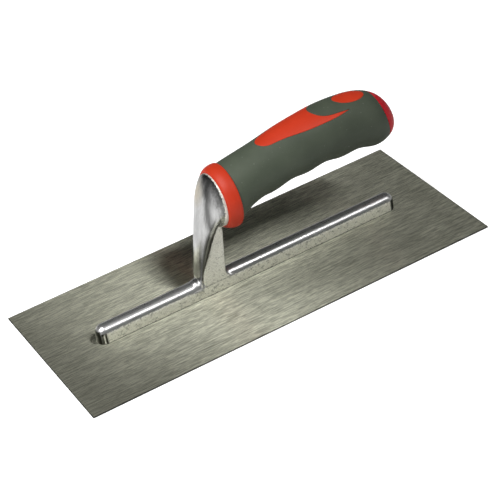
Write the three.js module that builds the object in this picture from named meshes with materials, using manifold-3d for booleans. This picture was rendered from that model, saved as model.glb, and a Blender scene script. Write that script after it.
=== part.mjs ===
// A plasterer's finishing trowel: a thin steel blade riveted to a cast aluminium mounting, whose tang
// carries a two-part moulded handle. Millimetres, +Z up. The origin is at the middle of the blade's working
// face, +X runs along the blade towards the butt of the handle, and +Y to the left of it.
import * as THREE from 'three';
import { mergeVertices } from 'three/addons/utils/BufferGeometryUtils.js';
import Module from 'manifold-3d';

const wasm = await Module();
wasm.setup();

// ---------------------------------------------------------------- driving dimensions

const BLADE = { length: 280, width: 120, thickness: 0.7 };

// Spine bar of the casting: straight sides, a full-round top and round ends.
const SPINE = { front: -107, rear: 108.3, radius: 5.5, top: 12 };

// Rivets stand in one row under the spine.
const RIVET = { count: 7, pitch: 33, headRadius: 3.6, shankRadius: 2, length: 8.5, tipChamfer: 0.5 };
const RIVET_CLEARANCE = { head: 0.1, shank: 0.15, depth: 0.4 };

// Flat web of the post, between the spine and the boss: points (x, z) of its rear edge. In front it ends
// inside the nose.
const WEB = {
  rearFoot: [-17.7, 13],
  rearTop: [-15.1, 42],
  top: 50,
  filletRadius: 4.5,
  filletZ: 8.4,
};

// Round boss where the post meets the handle, and the collar that cups it.
const BOSS = { z: 62.6, radius: 16.9, rear: -13.9 };

// Nose of the post, from the boss down to the spine. A section stands between a point of the front outline
// (x, z) and a point of the rear outline (x, z), and has its own half width.
const NOSE = [
  { front: [-15.2, 79.5], rear: [-18.0, 45.8], half: 16.9 },
  { front: [-16.3, 78.4], rear: [-19.0, 46.6], half: 16.0 },
  { front: [-20.1, 72.5], rear: [-19.6, 47.2], half: 14.6 },
  { front: [-23.8, 64.0], rear: [-20.2, 45.2], half: 13.0 },
  { front: [-27.2, 54.0], rear: [-21.4, 41.6], half: 11.0 },
  { front: [-30.4, 42.5], rear: [-23.6, 35.6], half: 9.0 },
  { front: [-33.0, 30.0], rear: [-27.4, 27.4], half: 7.3 },
  { front: [-34.8, 19.0], rear: [-32.0, 18.4], half: 6.0 },
  { front: [-35.8, 10.0], rear: [-33.8, 9.6], half: 5.5 },
];

// Tang inside the handle: rounded bar, straight and tapering, with a tapped hole in its rear end.
const TANG = [
  { x: -14, z: 62.6, halfHeight: 9.5, halfWidth: 6.5 },
  { x: 86, z: 74.5, halfHeight: 6.5, halfWidth: 5 },
];
const TANG_SQUARENESS = 4;
const TANG_CLEARANCE = 0.35;

// Side outline of the grip, from the collar to the butt: points (x, z) of its top and of its underside.
// A section of the grip stands between each pair, and both lines meet at the butt.
const GRIP_OUTLINE = [
  { top: [-5.7, 81.9], under: [-5.7, 43.4] },
  { top: [2, 84.1], under: [2, 49.6] },
  { top: [10, 85.9], under: [10, 52.6] },
  { top: [20, 88.1], under: [20, 54.2] },
  { top: [35, 91.4], under: [35, 55.8] },
  { top: [50, 93.6], under: [50, 57.1] },
  { top: [65, 94.9], under: [65, 57.3] },
  { top: [80, 94.3], under: [80, 56.5] },
  { top: [93, 92.1], under: [93, 55] },
  { top: [102, 87.9], under: [101.5, 54.1] },
  { top: [108.5, 81.9], under: [108, 56.2] },
  { top: [113, 72.7], under: [112.6, 60.4] },
];
const BUTT = { x: 114.7, z: 66 };
const GRIP_FRONT = {
  x: GRIP_OUTLINE[0].top[0],
  radius: (GRIP_OUTLINE[0].top[1] - GRIP_OUTLINE[0].under[1]) / 2,
};

// The grip is round at the collar and a little narrower than high from there back.
const GRIP_SQUEEZE = { from: -5.7, over: 30, amount: 0.06 };

// Finger waves along the underside.
const WAVE = { height: 0.97, crest: 22, pitch: 24.3, start: 8, startFade: 10, end: 112, endFade: 12 };

// Thickness of the soft skin, and the gap to what it is moulded on.
const SKIN = { thickness: 2.7, gap: 0.3 };

// Collar at the front of the hard core: radius against x, turned about the boss's axis.
const COLLAR_PROFILE = [
  [-14.8, 17.3],
  [-14.3, 18.2],
  [-13.4, 19.0],
  [-12.1, 19.6],
  [-10.7, 20.1],
  [-9.2, 20.4],
  [-6.7, 20.4],
  [-6, 19.8],
];
const COLLAR_RECESS = { radius: 17.1, depth: 1.2 };

// Flame-shaped land on top of the handle, in plan: the outer edge from a prong round the front tip to the
// other prong, then the notch between the prongs. One half is listed; the other is its mirror image.
const FLAME_EDGE = [[79.8, 10.4], [71.9, 11.6], [60.6, 11.8], [45.1, 10.3], [28.7, 7.3], [21.5, 5.1]];
const FLAME_TIP = [18.6, 0];
const FLAME_NOTCH = [[70, 9.9], [61, 7.5]];
const FLAME_NOTCH_MIDDLE = [56.8, 0];

// Oval land behind the flame, in plan.
const OVAL = { x: 85.2, halfLength: 10.8, halfWidth: 6.8 };

// The cap's joint is a plane, leaning forward at the top.
const CAP_JOINT = { x: 103.4, z: 73, lean: 0.155, gap: 0.3 };
const CAP_SPIGOT = { front: 96.6, radius: 7.3, bore: 5.9, boreRear: 106 };

// Rear of the core: a wall for the screw to pull on, and a counterbore behind it.
const SCREW_AXIS_Z = 74.5;
const SCREW_WALL = { front: 86.5, rear: 91, hole: 2.7 };
const COUNTERBORE_RADIUS = 7.6;
const WASHER = { inner: 2.6, outer: 6.4, thickness: 1.2, gap: 0.1 };
const SCREW = { headRadius: 4.8, headHeight: 3, shankRadius: 2.1, tip: 72 };
const SCREW_SLOT = { width: 1, length: 5.2, depth: 1.6 };
const TAPPED_HOLE = { radius: 2.3, front: 70 };

// Facets round each kind of section.
const HANDLE_FACETS = 36;
const BAR_FACETS = 20;
const ROUND_FACETS = 20;

// ---------------------------------------------------------------- solids and meshes

function toSolid(geometry) {
  const bare = geometry.clone();
  bare.deleteAttribute('normal');
  bare.deleteAttribute('uv');
  const merged = mergeVertices(bare, 1e-4);
  return new wasm.Manifold(new wasm.Mesh({
    numProp: 3,
    vertProperties: new Float32Array(merged.attributes.position.array),
    triVerts: new Uint32Array(merged.index.array),
  }));
}

function toGeometry(solid) {
  const mesh = solid.getMesh();
  const geometry = new THREE.BufferGeometry();
  geometry.setAttribute('position', new THREE.BufferAttribute(new Float32Array(mesh.vertProperties), 3));
  geometry.setIndex(new THREE.BufferAttribute(new Uint32Array(mesh.triVerts), 1));
  geometry.computeVertexNormals();
  return geometry;
}

function indexed(vertices, faces) {
  const geometry = new THREE.BufferGeometry();
  const coordinates = vertices.flatMap((vertex) => vertex.toArray());
  geometry.setAttribute('position', new THREE.Float32BufferAttribute(coordinates, 3));
  geometry.setIndex(faces.flat());
  return geometry;
}

// Closed skin over sections that stand across the XZ plane. Each has a centre, a half-height vector in that
// plane, a half width along Y, and an underside wave; squareness 2 is an ellipse, more is a rounded box.
function loft(sections, facets, squareness = 2) {
  const vertices = [];
  const faces = [];
  const round = (value) => Math.sign(value) * Math.abs(value) ** (2 / squareness);
  for (const { centre, up, half, wave = 0 } of sections) {
    for (let i = 0; i < facets; i += 1) {
      const angle = (2 * Math.PI * i) / facets;
      const point = centre.clone().addScaledVector(up, round(Math.cos(angle)));
      point.y += half * round(Math.sin(angle));
      point.z -= wave * Math.max(-Math.cos(angle), 0) ** 2;
      vertices.push(point);
    }
  }
  for (let s = 0; s + 1 < sections.length; s += 1) {
    for (let i = 0; i < facets; i += 1) {
      const next = (i + 1) % facets;
      const [a, b] = [s * facets + i, s * facets + next];
      const [c, d] = [a + facets, b + facets];
      faces.push([a, c, b], [b, c, d]);
    }
  }
  const last = (sections.length - 1) * facets;
  const ends = [vertices.length, vertices.length + 1];
  vertices.push(sections[0].centre.clone(), sections[sections.length - 1].centre.clone());
  for (let i = 0; i < facets; i += 1) {
    const next = (i + 1) % facets;
    faces.push([ends[0], i, next], [ends[1], last + next, last + i]);
  }
  return toSolid(indexed(vertices, faces));
}

// Solid of revolution about a line parallel to X at height z: profile rows are x, radius.
function turnedX(profile, z, facets) {
  const closed = [[profile[0][0], 0], ...profile, [profile[profile.length - 1][0], 0]];
  const outline = closed.map(([x, radius]) => new THREE.Vector2(radius, x));
  const geometry = new THREE.LatheGeometry(outline, facets);
  geometry.rotateZ(-Math.PI / 2);
  geometry.translate(0, 0, z);
  return toSolid(geometry);
}

function cylinderX(front, rear, radius, z, facets = ROUND_FACETS) {
  return turnedX([[front, radius], [rear, radius]], z, facets);
}

// Solid of revolution about a vertical line: profile rows are radius, z.
function turnedZ(profile, x) {
  const outline = profile.map(([radius, z]) => new THREE.Vector2(radius, z));
  const geometry = new THREE.LatheGeometry(outline, ROUND_FACETS);
  geometry.rotateX(Math.PI / 2);
  geometry.translate(x, 0, 0);
  return toSolid(geometry);
}

function box(low, high) {
  const size = low.map((value, axis) => high[axis] - value);
  const geometry = new THREE.BoxGeometry(...size);
  geometry.translate(...low.map((value, axis) => value + size[axis] / 2));
  return toSolid(geometry);
}

// Outline in plan, raised from z = bottom to z = top.
function prism(points, bottom, top) {
  const shape = new THREE.Shape(points);
  const geometry = new THREE.ExtrudeGeometry(shape, { depth: top - bottom, bevelEnabled: false });
  geometry.translate(0, 0, bottom);
  return toSolid(geometry);
}

// Moves each side of a closed outline outwards by a distance, and keeps its corners mitred.
function grown(points, distance) {
  const turn = Math.sign(THREE.ShapeUtils.area(points));
  const sideNormal = (from, to) => {
    const along = to.clone().sub(from).normalize();
    return new THREE.Vector2(turn * along.y, -turn * along.x);
  };
  return points.map((point, i) => {
    const before = sideNormal(points[(i + points.length - 1) % points.length], point);
    const after = sideNormal(point, points[(i + 1) % points.length]);
    const mitre = before.clone().add(after).divideScalar(1 + before.dot(after));
    return point.clone().addScaledVector(mitre, distance);
  });
}

// ---------------------------------------------------------------- blade and rivets

const rivetXs = Array.from({ length: RIVET.count }, (_, i) => (i - (RIVET.count - 1) / 2) * RIVET.pitch);

function rivetCone(extra, x) {
  const over = 0.5;
  const slope = (RIVET.headRadius - RIVET.shankRadius) / BLADE.thickness;
  return turnedZ([
    [0, -over],
    [RIVET.headRadius + extra + slope * over, -over],
    [RIVET.shankRadius + extra, BLADE.thickness],
    [RIVET.shankRadius + extra, BLADE.thickness + over],
    [0, BLADE.thickness + over],
  ], x);
}

function makeBlade() {
  const { length, width, thickness } = BLADE;
  const sheet = box([-length / 2, -width / 2, 0], [length / 2, width / 2, thickness]);
  return rivetXs.reduce((solid, x) => solid.subtract(rivetCone(RIVET_CLEARANCE.head, x)), sheet);
}

function makeRivet(x) {
  return turnedZ([
    [0, 0],
    [RIVET.headRadius, 0],
    [RIVET.shankRadius, BLADE.thickness],
    [RIVET.shankRadius, RIVET.length - RIVET.tipChamfer],
    [RIVET.shankRadius - RIVET.tipChamfer, RIVET.length],
    [0, RIVET.length],
  ], x);
}

// ---------------------------------------------------------------- mounting

// Full-round bar: a tall rounded outline in plan, under a capsule that lies along the spine.
function makeSpine() {
  const { front, rear, radius, top } = SPINE;
  const axisZ = top - radius;
  const outline = new THREE.Shape();
  outline.absarc(rear - radius, 0, radius, -Math.PI / 2, Math.PI / 2);
  outline.absarc(front + radius, 0, radius, Math.PI / 2, (3 * Math.PI) / 2);
  const lower = prism(outline.extractPoints(BAR_FACETS / 2).shape, BLADE.thickness, axisZ);
  const capsule = new THREE.CapsuleGeometry(radius, rear - front - 2 * radius, BAR_FACETS / 4, BAR_FACETS);
  capsule.rotateZ(Math.PI / 2);
  capsule.rotateX(Math.PI / 2);
  capsule.translate((front + rear) / 2, 0, axisZ);
  const reach = BLADE.length;
  const upper = toSolid(capsule).intersect(box([-reach, -reach, axisZ - 0.01], [reach, reach, top + radius]));
  return lower.add(upper);
}

function noseSections() {
  const count = 20;
  const ends = NOSE.map(({ front, rear, half }) => ({
    front: new THREE.Vector3(front[0], half, front[1]),
    rear: new THREE.Vector3(rear[0], half, rear[1]),
  }));
  const frontEdge = new THREE.CatmullRomCurve3(ends.map((end) => end.front), false, 'centripetal');
  const rearEdge = new THREE.CatmullRomCurve3(ends.map((end) => end.rear), false, 'centripetal');
  const sections = [];
  for (let i = 0; i <= count; i += 1) {
    const a = frontEdge.getPoint(i / count);
    const b = rearEdge.getPoint(i / count);
    const half = (a.y + b.y) / 2;
    const centre = new THREE.Vector3((a.x + b.x) / 2, 0, (a.z + b.z) / 2);
    sections.push({ centre, up: new THREE.Vector3((a.x - b.x) / 2, 0, (a.z - b.z) / 2), half });
  }
  return sections;
}

// Flat plate between the nose and the rear edge, as thick as the spine, with a fillet at its rear foot.
function makeWeb() {
  const { rearFoot, rearTop, top, filletRadius, filletZ } = WEB;
  const foot = BLADE.thickness + 1;
  const filletEnd = rearFoot[0] + filletRadius;
  const insideNose = noseSections().map((section) => section.centre).filter((centre) => centre.z < top);
  const outline = new THREE.Shape();
  outline.moveTo(insideNose[insideNose.length - 1].x, foot);
  outline.lineTo(filletEnd, foot);
  outline.lineTo(filletEnd, filletZ);
  outline.quadraticCurveTo(rearFoot[0] - 0.2, filletZ, ...rearFoot);
  outline.lineTo(...rearTop);
  outline.lineTo(rearTop[0], top);
  for (const centre of insideNose) {
    outline.lineTo(centre.x, centre.z);
  }
  const geometry = new THREE.ExtrudeGeometry(outline, {
    depth: 2 * SPINE.radius,
    bevelEnabled: false,
    curveSegments: 5,
  });
  geometry.rotateX(Math.PI / 2);
  geometry.translate(0, SPINE.radius, 0);
  return toSolid(geometry);
}

// The boss's rear face stands square to the handle; from there the nose sweeps forward and down.
function makeNose() {
  const rearFace = {
    centre: new THREE.Vector3(BOSS.rear, 0, BOSS.z),
    up: new THREE.Vector3(0, 0, BOSS.radius),
    half: BOSS.radius,
  };
  return loft([rearFace, ...noseSections()].reverse(), HANDLE_FACETS);
}

function tangSolid(extra, front, rear) {
  const [a, b] = TANG;
  const at = (x) => {
    const t = (x - a.x) / (b.x - a.x);
    return {
      centre: new THREE.Vector3(x, 0, THREE.MathUtils.lerp(a.z, b.z, t)),
      up: new THREE.Vector3(0, 0, THREE.MathUtils.lerp(a.halfHeight, b.halfHeight, t) + extra),
      half: THREE.MathUtils.lerp(a.halfWidth, b.halfWidth, t) + extra,
    };
  };
  return loft([at(front), at(rear)], BAR_FACETS, TANG_SQUARENESS);
}

function makeMounting() {
  const overlap = 0.5;
  const tang = tangSolid(0, BOSS.rear - overlap, TANG[1].x);
  let solid = makeSpine().add(makeWeb()).add(makeNose()).add(tang);
  solid = solid.subtract(cylinderX(TAPPED_HOLE.front, TANG[1].x + 1, TAPPED_HOLE.radius, SCREW_AXIS_Z, 16));
  const hole = RIVET.shankRadius + RIVET_CLEARANCE.shank;
  for (const x of rivetXs) {
    const blind = turnedZ([[0, 0], [hole, 0], [hole, RIVET.length + RIVET_CLEARANCE.depth],
      [0, RIVET.length + RIVET_CLEARANCE.depth]], x);
    solid = solid.subtract(blind);
  }
  return solid;
}

// ---------------------------------------------------------------- handle

// Sections of the grip's surface, moved inwards by inset. upTo is the share of the way to the butt.
function gripSections(inset, count, upTo) {
  const rows = GRIP_OUTLINE.length;
  const sidePoint = ([x, z]) => new THREE.Vector3(x, 0, z);
  const edge = (side, otherSide) => new THREE.CatmullRomCurve3([
    ...GRIP_OUTLINE.map((row) => sidePoint(row[side])),
    sidePoint([BUTT.x, BUTT.z]),
    sidePoint(GRIP_OUTLINE[rows - 1][otherSide]),
  ], false, 'centripetal');
  const topEdge = edge('top', 'under');
  const lowerEdge = edge('under', 'top');
  const tipAt = rows / (rows + 1);
  const sections = [];
  for (let i = 0; i <= count; i += 1) {
    const a = topEdge.getPoint((i / count) * upTo * tipAt);
    const b = lowerEdge.getPoint((i / count) * upTo * tipAt);
    const centre = a.clone().add(b).multiplyScalar(0.5);
    const up = a.clone().sub(b).multiplyScalar(0.5);
    const height = up.length();
    const along = THREE.MathUtils.clamp((centre.x - GRIP_SQUEEZE.from) / GRIP_SQUEEZE.over, 0, 1);
    const fadeIn = THREE.MathUtils.clamp((b.x - WAVE.start) / WAVE.startFade, 0, 1);
    const fadeOut = THREE.MathUtils.clamp((WAVE.end - b.x) / WAVE.endFade, 0, 1);
    sections.push({
      centre,
      up: up.multiplyScalar(Math.max(height - inset, 0) / Math.max(height, 1e-6)),
      half: Math.max(height * (1 - GRIP_SQUEEZE.amount * along) - inset, 0),
      wave: WAVE.height * Math.cos((2 * Math.PI * (b.x - WAVE.crest)) / WAVE.pitch) * fadeIn * fadeOut,
    });
  }
  return sections;
}

// Everything in front of the cap's joint, less the gap given.
function aheadOfJoint(gap) {
  const size = 400;
  const slab = new THREE.BoxGeometry(size, size, size);
  slab.translate(-size / 2 - gap, 0, 0);
  slab.rotateY(-Math.atan(CAP_JOINT.lean));
  slab.translate(CAP_JOINT.x, 0, CAP_JOINT.z);
  return toSolid(slab);
}

function flameOutline() {
  const vector = ([x, y]) => new THREE.Vector2(x, y);
  const mirror = ([x, y]) => new THREE.Vector2(x, -y);
  const outer = [...FLAME_EDGE.map(vector), vector(FLAME_TIP), ...FLAME_EDGE.map(mirror).reverse()];
  const notch = [mirror(FLAME_EDGE[0]), ...FLAME_NOTCH.map(mirror), vector(FLAME_NOTCH_MIDDLE),
    ...FLAME_NOTCH.map(vector).reverse(), vector(FLAME_EDGE[0])];
  const outerPoints = new THREE.SplineCurve(outer).getPoints(28);
  const notchPoints = new THREE.SplineCurve(notch).getPoints(14);
  return [...outerPoints.slice(0, -1), ...notchPoints.slice(0, -1)];
}

function ovalOutline() {
  const curve = new THREE.EllipseCurve(OVAL.x, 0, OVAL.halfLength, OVAL.halfWidth);
  return curve.getPoints(24).slice(0, -1);
}

// Vertical prisms through the top of the handle, at the two lands.
function landPrisms(extra) {
  const middle = 76;
  const above = 100;
  const flame = prism(grown(flameOutline(), extra), middle, above);
  const oval = prism(grown(ovalOutline(), extra), middle, above);
  return flame.add(oval);
}

const outerSurface = loft(gripSections(0, 38, 0.985), HANDLE_FACETS);

function makeSoftGrip() {
  const hollow = loft(gripSections(SKIN.thickness, 24, 0.97), HANDLE_FACETS);
  const mouthRadius = GRIP_FRONT.radius - SKIN.thickness;
  const mouth = cylinderX(GRIP_FRONT.x - 1, GRIP_FRONT.x + 1, mouthRadius, BOSS.z, HANDLE_FACETS);
  return outerSurface
    .subtract(hollow)
    .subtract(mouth)
    .subtract(landPrisms(SKIN.gap))
    .intersect(aheadOfJoint(CAP_JOINT.gap));
}

function makeHandleCore() {
  const sleeve = loft(gripSections(SKIN.thickness + SKIN.gap, 24, 0.97), HANDLE_FACETS);
  const collar = turnedX(COLLAR_PROFILE, BOSS.z, HANDLE_FACETS);
  const front = COLLAR_PROFILE[0][0];
  const collarRear = COLLAR_PROFILE[COLLAR_PROFILE.length - 1][0];
  const neckRadius = GRIP_FRONT.radius - SKIN.thickness - 2 * SKIN.gap;
  const neck = cylinderX(collarRear - 1, GRIP_FRONT.x + SKIN.gap, neckRadius, BOSS.z, HANDLE_FACETS);
  const lands = outerSurface.intersect(landPrisms(0));
  const recessFloor = front + COLLAR_RECESS.depth;
  const recess = cylinderX(front - 1, recessFloor, COLLAR_RECESS.radius, BOSS.z, HANDLE_FACETS);
  return collar
    .add(neck)
    .add(sleeve)
    .add(lands)
    .intersect(aheadOfJoint(2 * CAP_JOINT.gap))
    .subtract(recess)
    .subtract(tangSolid(TANG_CLEARANCE, front - 1, SCREW_WALL.front))
    .subtract(cylinderX(SCREW_WALL.front - 1, SCREW_WALL.rear + 1, SCREW_WALL.hole, SCREW_AXIS_Z))
    .subtract(cylinderX(SCREW_WALL.rear, BUTT.x, COUNTERBORE_RADIUS, SCREW_AXIS_Z));
}

function makeEndCap() {
  const dome = outerSurface.subtract(aheadOfJoint(0));
  const { front, radius, bore, boreRear } = CAP_SPIGOT;
  const spigot = cylinderX(front, CAP_JOINT.x + 2, radius, SCREW_AXIS_Z);
  return dome.add(spigot).subtract(cylinderX(front - 1, boreRear, bore, SCREW_AXIS_Z));
}

function makeWasher() {
  const rear = SCREW_WALL.rear + WASHER.gap + WASHER.thickness;
  const disc = cylinderX(SCREW_WALL.rear + WASHER.gap, rear, WASHER.outer, SCREW_AXIS_Z);
  return disc.subtract(cylinderX(SCREW_WALL.rear - 1, rear + 1, WASHER.inner, SCREW_AXIS_Z));
}

function makeHandleScrew() {
  const seat = SCREW_WALL.rear + 2 * WASHER.gap + WASHER.thickness;
  const end = seat + SCREW.headHeight;
  const body = turnedX([
    [SCREW.tip, SCREW.shankRadius - 0.8],
    [SCREW.tip + 1, SCREW.shankRadius],
    [seat, SCREW.shankRadius],
    [seat, SCREW.headRadius],
    [end - 1, SCREW.headRadius],
    [end, SCREW.headRadius - 1.2],
  ], SCREW_AXIS_Z, ROUND_FACETS);
  const floor = end - SCREW_SLOT.depth;
  const [long, wide] = [SCREW_SLOT.length / 2, SCREW_SLOT.width / 2];
  const across = box([floor, -long, SCREW_AXIS_Z - wide], [end + 1, long, SCREW_AXIS_Z + wide]);
  const upright = box([floor, -wide, SCREW_AXIS_Z - long], [end + 1, wide, SCREW_AXIS_Z + long]);
  return body.subtract(across.add(upright));
}

// ---------------------------------------------------------------- the assembly

function material(color, roughness, metalness) {
  return new THREE.MeshStandardMaterial({ color, roughness, metalness });
}

const steel = material('#86867a', 0.38, 1);
const aluminium = material('#b9b7b0', 0.3, 1);
const zinc = material('#9a9a94', 0.4, 1);
const orangeRed = material('#cf3d24', 0.35, 0);
const crimson = material('#be1429', 0.35, 0);
const greyRubber = material('#485046', 0.75, 0);

const trowel = new THREE.Group();

function place(name, solid, look) {
  const mesh = new THREE.Mesh(toGeometry(solid), look);
  mesh.name = name;
  trowel.add(mesh);
}

place('blade', makeBlade(), steel);
rivetXs.forEach((x, i) => place(`rivet_${i + 1}`, makeRivet(x), zinc));
place('mounting', makeMounting(), aluminium);
place('handle_core', makeHandleCore(), orangeRed);
place('soft_grip', makeSoftGrip(), greyRubber);
place('handle_screw', makeHandleScrew(), zinc);
place('washer', makeWasher(), zinc);
place('end_cap', makeEndCap(), crimson);

export default trowel;
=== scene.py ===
"""Plasterer's finishing trowel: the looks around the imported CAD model.

Shapes are worked out in millimetres and scaled to metres when a mesh is made. The camera, the lights and
their surroundings are placed in metres. +X runs along the blade to the butt of the handle, +Z is up, and the
blade's working face is at z = 0.
"""

import itertools
import math

import bpy
import numpy as np
from mathutils import Matrix, Vector
from mathutils.geometry import delaunay_2d_cdt


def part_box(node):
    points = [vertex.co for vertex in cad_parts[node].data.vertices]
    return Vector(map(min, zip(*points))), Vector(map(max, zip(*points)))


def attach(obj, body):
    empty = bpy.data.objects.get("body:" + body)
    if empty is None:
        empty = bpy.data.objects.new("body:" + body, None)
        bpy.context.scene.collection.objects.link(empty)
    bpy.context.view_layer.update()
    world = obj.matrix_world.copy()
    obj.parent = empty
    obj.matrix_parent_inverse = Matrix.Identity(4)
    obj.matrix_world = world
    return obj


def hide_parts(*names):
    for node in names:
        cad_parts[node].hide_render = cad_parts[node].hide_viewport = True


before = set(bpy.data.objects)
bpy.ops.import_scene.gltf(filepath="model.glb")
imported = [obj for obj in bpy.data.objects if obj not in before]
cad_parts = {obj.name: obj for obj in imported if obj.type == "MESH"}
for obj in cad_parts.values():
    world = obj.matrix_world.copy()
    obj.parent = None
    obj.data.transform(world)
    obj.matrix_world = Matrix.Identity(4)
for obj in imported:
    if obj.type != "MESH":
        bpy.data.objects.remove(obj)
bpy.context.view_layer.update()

MM = 0.001


def node_box(node):
    """Lowest and highest corner of a CAD node, in millimetres."""
    low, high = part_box(node)
    return np.array(low) / MM, np.array(high) / MM


# -------- camera, lights and floor

CAMERA_AT = (-0.3754, -0.8025, 0.6442)
CAMERA_AIMS_AT = (0.0130, 0.0207, 0.0)
CAMERA_ROLL = math.radians(-9.62)
# Focal length and sensor width, in millimetres.
CAMERA_LENS = 126.65
CAMERA_SENSOR = 36
CAMERA_NEAR = 0.05

# Thin strip that shows in the metal, a dim panel on the right, and the large soft box that lights the rest.
STRIP_AT = (0.386, -0.664, 1.106)
STRIP_SIZE = (0.09, 0.42)
STRIP_WATTS = 3.3
PANEL_AT = (0.98, -0.58, 0.90)
PANEL_SIZE = (0.5, 0.95)
PANEL_WATTS = 1.5
BOX_AT = (-0.62, -0.18, 1.12)
BOX_SIZE = (0.8, 0.8)
BOX_WATTS = 20
# Pale sweep on one side of the table, how far it reaches up and round, and the dark room beyond it.
SWEEP_SIDE = (-1, 0, 0)
SWEEP_RISE = (0.02, 0.6)
SWEEP_SPREAD = (0.55, 0.97)
SWEEP_LIGHT = 0.7
ROOM_LIGHT = 0.045
# Backdrop as the camera sees it.
BACKDROP_LIGHT = 0.95
PAPER = (0.75, 0.75, 0.75)
FLOOR_GLOW = 0.15
FLOOR_GLOW_SEEN = 0.6
# Half the floor's side, and how far it lies under the blade, in millimetres.
FLOOR_HALF = 1000
FLOOR_DROP = 0.2


def make_camera():
    data = bpy.data.cameras.new("camera")
    data.lens = CAMERA_LENS
    data.sensor_width = CAMERA_SENSOR
    data.clip_start = CAMERA_NEAR
    data.dof.use_dof = False
    camera = bpy.data.objects.new("camera", data)
    bpy.context.scene.collection.objects.link(camera)
    place = Vector(CAMERA_AT)
    level = (Vector(CAMERA_AIMS_AT) - place).to_track_quat("-Z", "Y").to_matrix().to_4x4()
    camera.matrix_world = Matrix.Translation(place) @ level @ Matrix.Rotation(CAMERA_ROLL, 4, "Z")
    bpy.context.scene.camera = camera


def area_light(name, place, size, watts):
    """Rectangular light that faces the middle of the blade."""
    data = bpy.data.lights.new(name, "AREA")
    data.shape = "RECTANGLE"
    data.size, data.size_y = size
    data.energy = watts
    light = bpy.data.objects.new(name, data)
    bpy.context.scene.collection.objects.link(light)
    light.location = place
    light.rotation_euler = (-Vector(place)).to_track_quat("-Z", "Y").to_euler()


def make_lights():
    area_light("strip", STRIP_AT, STRIP_SIZE, STRIP_WATTS)
    area_light("panel", PANEL_AT, PANEL_SIZE, PANEL_WATTS)
    area_light("box", BOX_AT, BOX_SIZE, BOX_WATTS)
    world = bpy.data.worlds.new("studio")
    bpy.context.scene.world = world
    world.use_nodes = True
    tree = world.node_tree
    seen = add(tree, "LightPath").outputs["Is Camera Ray"]
    direction = add(tree, "TexCoord").outputs["Generated"]
    rise = after("SeparateXYZ", Vector=direction).outputs["Z"]
    side = after("VectorMath", {"operation": "DOT_PRODUCT"}, i0=direction, i1=SWEEP_SIDE)
    sweep = times(remap(rise, SWEEP_RISE, 1, 0), remap(side.outputs["Value"], SWEEP_SPREAD))
    room = remap(sweep, (0, 1), ROOM_LIGHT, SWEEP_LIGHT)
    strength = blend(seen, room, BACKDROP_LIGHT)
    fill(tree.nodes["Background"], Color=(1, 1, 1, 1), Strength=strength)
    bpy.context.scene.view_settings.view_transform = "Standard"


def make_floor():
    corners = [(FLOOR_HALF * x, FLOOR_HALF * y, 0) for x, y in ((-1, -1), (1, -1), (1, 1), (-1, 1))]
    floor = new_mesh_object("floor", corners, [(0, 1, 2, 3)])
    floor.location.z = -FLOOR_DROP * MM
    floor.data.materials.append(floor_material())


# -------- mesh tools

# Edges sharper than this, in degrees, stay sharp unless a piece says otherwise.
SHARP = 35
# How far a cutting tool runs past what it cuts.
CUT_OVER = 1.0
CORNER_STEPS = 6


def new_mesh_object(name, points, faces, sharp_above=SHARP):
    """Object from points in millimetres, smooth but for edges sharper than an angle."""
    mesh = bpy.data.meshes.new(name)
    faces = [list(map(int, face)) for face in faces]
    mesh.from_pydata((np.asarray(points, float) * MM).tolist(), [], faces)
    mesh.validate()
    mesh.shade_smooth()
    mesh.set_sharp_from_angle(angle=math.radians(sharp_above))
    made = bpy.data.objects.new(name, mesh)
    bpy.context.scene.collection.objects.link(made)
    return made


def boolean(target, tool, operation, sharp_above=SHARP):
    """Joins, cuts or intersects the target's mesh with the tool's, and removes the tool."""
    step = target.modifiers.new("step", "BOOLEAN")
    step.object = tool
    step.operation = operation
    step.solver = "MANIFOLD"
    evaluated = target.evaluated_get(bpy.context.evaluated_depsgraph_get())
    result = bpy.data.meshes.new_from_object(evaluated)
    target.modifiers.clear()
    target.data = result
    result.shade_smooth()
    result.set_sharp_from_angle(angle=math.radians(sharp_above))
    bpy.data.objects.remove(tool)
    return target


def ring_solid(rings, name="solid", sharp_above=SHARP):
    """Closed skin over rings of points that run the same way, with a flat face at each end."""
    rings = np.asarray(rings, float)
    count, around = rings.shape[:2]
    points = rings.reshape(-1, 3)
    index = np.arange(count * around).reshape(count, around)
    turned = np.roll(index, -1, axis=1)
    sides = np.stack([index[:-1], turned[:-1], turned[1:], index[1:]], axis=-1).reshape(-1, 4)
    faces = [*sides.tolist(), index[0][::-1].tolist(), index[-1].tolist()]
    made = new_mesh_object(name, points, faces, sharp_above)
    return outward(made)


def outward(made):
    """Turns a closed mesh inside out if its volume is negative."""
    mesh = made.data
    mesh.calc_loop_triangles()
    points = np.array([vertex.co for vertex in mesh.vertices])
    corners = points[[triangle.vertices[:] for triangle in mesh.loop_triangles]]
    volume = np.einsum("ij,ij->i", corners[:, 0], np.cross(corners[:, 1], corners[:, 2])).sum()
    if volume < 0:
        mesh.flip_normals()
    return made


def turned_x(profile, z, around):
    """Solid of revolution about a line parallel to X at height z: profile rows are x, radius."""
    angle = np.linspace(0, 2 * np.pi, around, endpoint=False)
    rings = [
        np.stack([np.full(around, x), radius * np.sin(angle), z + radius * np.cos(angle)], axis=-1)
        for x, radius in profile
    ]
    return ring_solid(rings)


def turned_z(profile, x, around):
    """Solid of revolution about a vertical line at x: profile rows are radius, z."""
    angle = np.linspace(0, 2 * np.pi, around, endpoint=False)
    rings = [
        np.stack([x + radius * np.cos(angle), radius * np.sin(angle), np.full(around, z)], axis=-1)
        for radius, z in profile
    ]
    return ring_solid(rings)


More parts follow.
